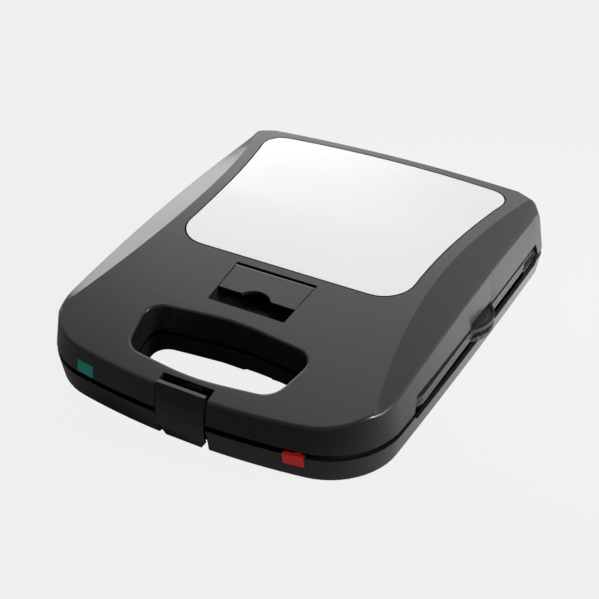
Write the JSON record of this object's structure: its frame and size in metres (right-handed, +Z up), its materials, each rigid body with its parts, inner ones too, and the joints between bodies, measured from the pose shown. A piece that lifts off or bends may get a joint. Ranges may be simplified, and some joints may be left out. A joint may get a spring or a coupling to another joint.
{
  "type": "sandwich toaster",
  "caption": "Countertop sandwich toaster with a hinged arched lid, a carrying hole, a front latch clip, lift-out cooking plates and release paddles.",
  "frame": {"origin": "middle of the bounding box, on the surface that the feet stand on", "axes": "+Z up, +X to the right seen from the front, -Y towards the front with the latch, +Y to the hinge"},
  "size_m": [0.2592, 0.3134, 0.0752],
  "materials": {
    "shell": "satin black",
    "base_plastic": "satin black",
    "panel_steel": "fine brushed stainless",
    "inner_plastic": "matt black",
    "reflector_metal": "bright sheet",
    "element_sheath": "heat-dulled",
    "plate_coating": "dark non-stick coating",
    "grip_plastic": "matt black",
    "paddle_plastic": "satin black",
    "clip_plastic": "satin black",
    "pin_steel": "bright drawn",
    "spring_steel": "bright wire",
    "screw_steel": "zinc plated",
    "green_lens": "clear green",
    "red_lens": "clear red",
    "lamp_glass": "clear",
    "ceramic_body": "unglazed pale",
    "gland_rubber": "matt black",
    "foot_rubber": "matt black"
  },
  "bodies": {
    "base": {"base_shell": "base_plastic", "base_inner_frame": "inner_plastic", "lower_reflector": "reflector_metal", "lower_elements": "element_sheath", "lower_plate": "plate_coating", "lower_plate_grips": "grip_plastic", "lower_paddle_pin": "pin_steel", "lower_paddle_spring": "spring_steel", "power_lens": "red_lens", "power_lamp": "lamp_glass", "thermostat": "ceramic_body", "thermal_fuse": "ceramic_body", "terminal_block": "ceramic_body", "cord_inlet": "gland_rubber", "hinge_pins": "pin_steel", "rubber_feet": "foot_rubber", "foot_screws": "screw_steel", "base_screws": "screw_steel"},
    "lid": {"lid_shell": "shell", "lid_steel_panel": "panel_steel", "lid_inner_frame": "inner_plastic", "upper_reflector": "reflector_metal", "upper_elements": "element_sheath", "upper_plate": "plate_coating", "upper_plate_grips": "grip_plastic", "upper_paddle_pin": "pin_steel", "upper_paddle_spring": "spring_steel", "latch_pin": "pin_steel", "latch_spring": "spring_steel", "ready_lens": "green_lens", "ready_lamp": "lamp_glass", "lid_screws": "screw_steel"},
    "latch": {"latch_clip": "clip_plastic"},
    "upper_release": {"upper_paddle": "paddle_plastic"},
    "lower_release": {"lower_paddle": "paddle_plastic"}
  },
  "joints": [
    {"name": "lid_hinge", "type": "hinge", "parent": "base", "child": "lid", "pos_m": [0, 0.15125, 0.0341], "axis": [-1, 0, 0], "range_deg": [0, 100]},
    {"name": "latch_pivot", "type": "hinge", "parent": "lid", "child": "latch", "pos_m": [0, -0.15075, 0.0445], "axis": [-1, 0, 0], "range_deg": [0, 22], "stiffness_Nm_per_rad": 0.1, "springref_deg": -8.59},
    {"name": "upper_release_pivot", "type": "hinge", "parent": "lid", "child": "upper_release", "pos_m": [0, -0.04085, 0.0678], "axis": [-1, 0, 0], "range_deg": [0, 20], "stiffness_Nm_per_rad": 0.08, "springref_deg": -11.46},
    {"name": "lower_release_pivot", "type": "hinge", "parent": "base", "child": "lower_release", "pos_m": [0, -0.04085, 0.009], "axis": [1, 0, 0], "range_deg": [0, 13], "stiffness_Nm_per_rad": 0.08, "springref_deg": -11.46}
  ]
}
